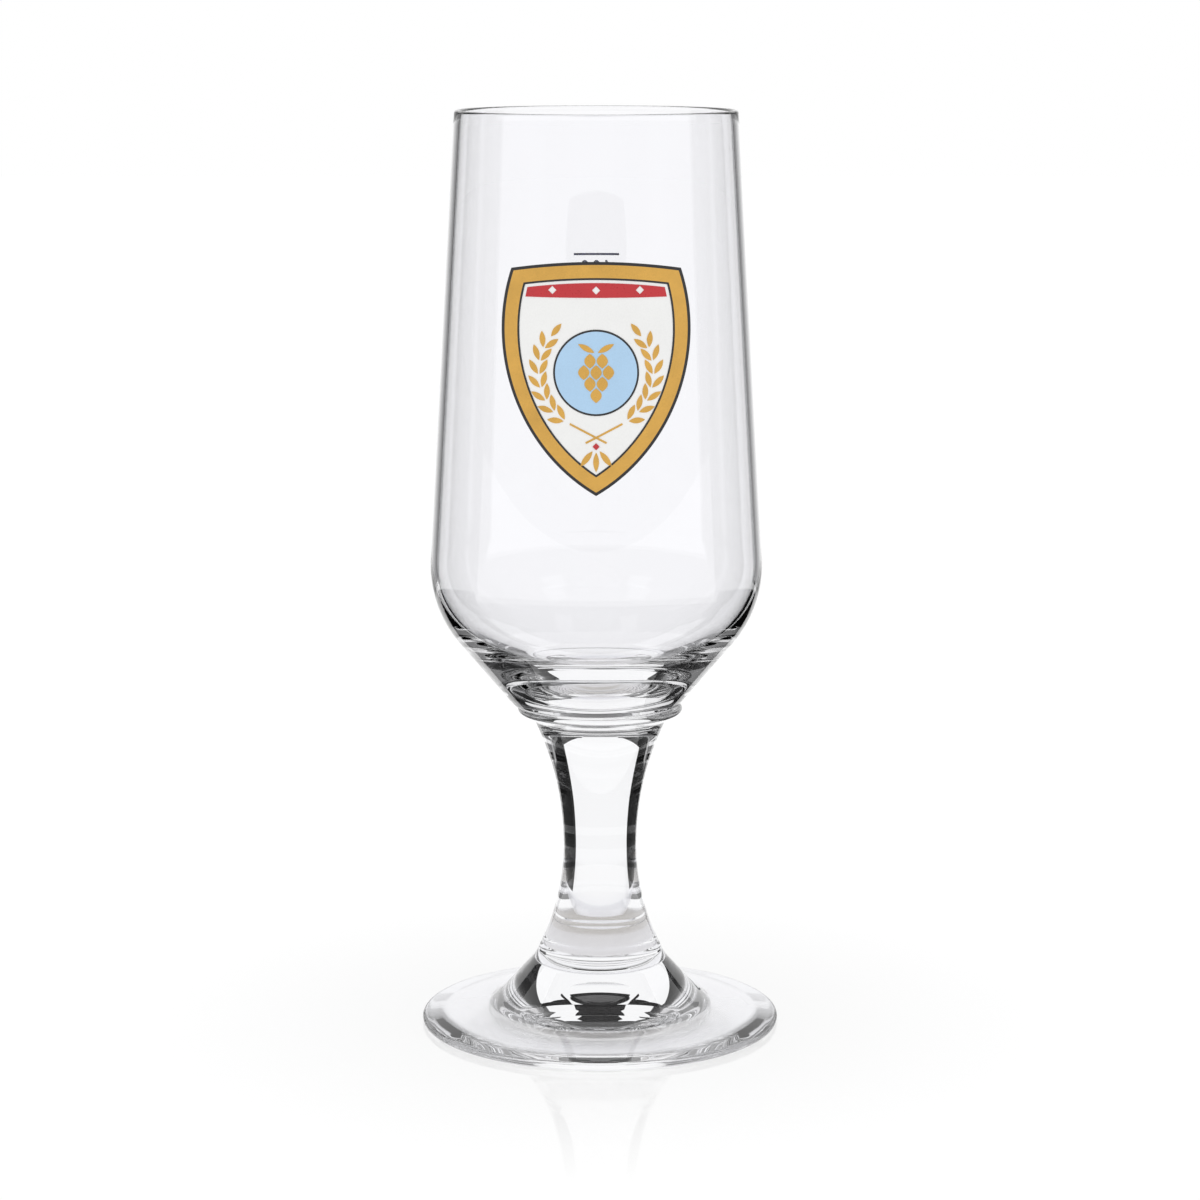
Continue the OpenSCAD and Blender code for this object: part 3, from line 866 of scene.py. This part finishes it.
floorMesh = bpy.data.meshes.new("floor")
floorMesh.from_pydata([(x * floorSpec["reach"], y * floorSpec["reach"], 0)
                       for x, y in ((-1, -1), (1, -1), (1, 1), (-1, 1))], [], [(0, 1, 2, 3)])
floorMesh.materials.append(floorMaterial())
floor = newObject("floor", floorMesh)
floor.location.z = -floorSpec["sink"]

# a dark surround that shows in the glass but not to the camera, and turns with it: the
# bright field and the two skylights are left open, and the flags beside them draw the
# edges of the glass. Angles in degrees, from straight behind the glass and above the table
surroundSpec = {
    "reach": 3.0, "step": 2.5, "dark": 0.008, "over": 0.1, "beside": 0.2, "before": 0.25,
    "field": (-35, 30, 20), "ceiling": 27.5, "skylight": (12.5, 32.5, 42.5),
    "softBox": (130, 150, 35, 50), "flags": [(30, 90, 0.62), (-90, -35, 1.0)],
    "cloth": (0.05, 0.45), "front": (90, 270), "frontCloth": (0.09, 0.3), "clothSteps": 24,
    "clothLift": 0.00005, "mirrorAbove": 45, "flagMirrorAbove": 17.5,
    "veilBehind": 0.06, "veilHeights": (92, 240),  # beside the bowl, by millimetres off its outline
    "veil": [(16, 0.62), (22, 0.5), (28, 0.35), (38, 0.1), (60, None)],
}
rig = bpy.data.objects.new("surroundRig", None)
scene.collection.objects.link(rig)
follow = rig.constraints.new("COPY_ROTATION")
follow.target = camera
follow.use_x = follow.use_y = False


def surroundMaterial():  # seen from its front only; takes no light from the enamel or the floor
    material, tree = newMaterial("surround")
    level = addNode(tree, "ShaderNodeAttribute", attribute_name="level").outputs["Fac"]
    glow = addNode(tree, "ShaderNodeEmission", {"Strength": level})
    clear = addNode(tree, "ShaderNodeBsdfTransparent")
    behind = addNode(tree, "ShaderNodeNewGeometry").outputs["Backfacing"]
    lighting = addNode(tree, "ShaderNodeLightPath").outputs["Diffuse Depth"]
    mix = addNode(tree, "ShaderNodeMixShader", {
        "Fac": mathOf(tree, "MAXIMUM", behind, lighting), 1: glow.outputs[0], 2: clear.outputs[0]})
    addNode(tree, "ShaderNodeOutputMaterial", {"Surface": mix.outputs[0]})
    return material


def hang(name, corners, faces, levels, mirrored):
    mesh = bpy.data.meshes.new(name)
    mesh.from_pydata(corners, [], faces)
    mesh.attributes.new("level", "FLOAT", "FACE").data.foreach_set("value", levels)
    mesh.materials.append(surround)
    made = newObject(name, mesh)
    made.parent = rig
    made.visible_camera = made.visible_diffuse = made.visible_shadow = False
    made.visible_glossy = mirrored


def onFlag(turn, rise):
    return any(a < turn < b and math.tan(math.radians(rise)) < slope * math.cos(math.radians(turn))
               for a, b, slope in surroundSpec["flags"])


def isOpen(turn, rise):
    s = surroundSpec
    away = abs(turn)
    left, right, top = s["field"]
    inner, outer, high = s["skylight"]
    start, end, low, up = s["softBox"]
    return (left < turn < right and rise < (top if away > inner else s["ceiling"])
            or inner < away < outer and s["ceiling"] < rise < high
            or start < away < end and low < rise < up)


def domeLevel(turn, rise):  # None where it is open
    s = surroundSpec
    if isOpen(turn, rise):
        return None
    left, right, _ = s["field"]
    if onFlag(turn, rise) or left < turn < right and rise < s["skylight"][2] + s["step"]:
        return s["dark"]
    return s["before"] if abs(turn) > 90 else s["over"] if rise > s["ceiling"] else s["beside"]


def isMirrored(turn, rise):
    s = surroundSpec
    return rise > (s["flagMirrorAbove"] if onFlag(turn, rise) else s["mirrorAbove"])


def hangDome(name, mirrored):
    s = surroundSpec
    turns, rises = round(360 / s["step"]), round(90 / s["step"])
    corners, faces, levels = [], [], []
    for i in range(rises + 1):
        up = toward(i * s["step"]) * s["reach"]
        for j in range(turns):
            out = toward(270 - j * s["step"]) * up.x
            corners.append((out.x, out.y, up.y))
    for i in range(rises):
        for j in range(turns):
            turn, rise = (j + 0.5) * s["step"] - 180, (i + 0.5) * s["step"]
            level = domeLevel(turn, rise)
            if level is not None and isMirrored(turn, rise) == mirrored:
                k = (j + 1) % turns
                faces.append((i * turns + j, i * turns + k, (i + 1) * turns + k, (i + 1) * turns + j))
                levels.append(level)
    hang(name, corners, faces, levels, mirrored)


def spread(name, start, end, near, far, level, mirrored):  # a dark cloth on the floor
    steps = surroundSpec["clothSteps"]
    edges = [toward(90 - start - (end - start) * k / steps) for k in range(steps + 1)]
    corners, quads = gridPatch([[e * near for e in edges], [e * far for e in edges]])
    lift = surroundSpec["clothLift"]
    hang(name, [(c.x, c.y, lift) for c in corners], quads, [level] * len(quads), mirrored)


def hangVeil(name, side):  # the field falls off beside the bowl; side is -1 at the left
    s = surroundSpec
    strips = s["veil"][::side]  # from left to right, so that both veils face the glass
    rows = [[Vector((side * (wallRadius(z) + off), z)) for off, _ in strips] for z in s["veilHeights"]]
    corners, quads = gridPatch(rows)
    levels = [level for _, level in strips if level is not None]
    hang(name, [(c.x * mm, s["veilBehind"], c.y * mm) for c in corners], quads, levels, True)


surround = surroundMaterial()
hangVeil("surroundVeilLeft", -1)
hangVeil("surroundVeilRight", 1)
hangDome("surroundLow", False)
hangDome("surroundHigh", True)
near, far = surroundSpec["cloth"]
for i, (start, end, _) in enumerate(surroundSpec["flags"]):
    spread("surroundCloth%d" % i, start, end, near, far, surroundSpec["dark"], True)
    spread("surroundFarCloth%d" % i, start, end, far, surroundSpec["reach"], surroundSpec["dark"], False)
spread("surroundFront", *surroundSpec["front"], *surroundSpec["frontCloth"], surroundSpec["before"], True)
print("camera and stage ready")
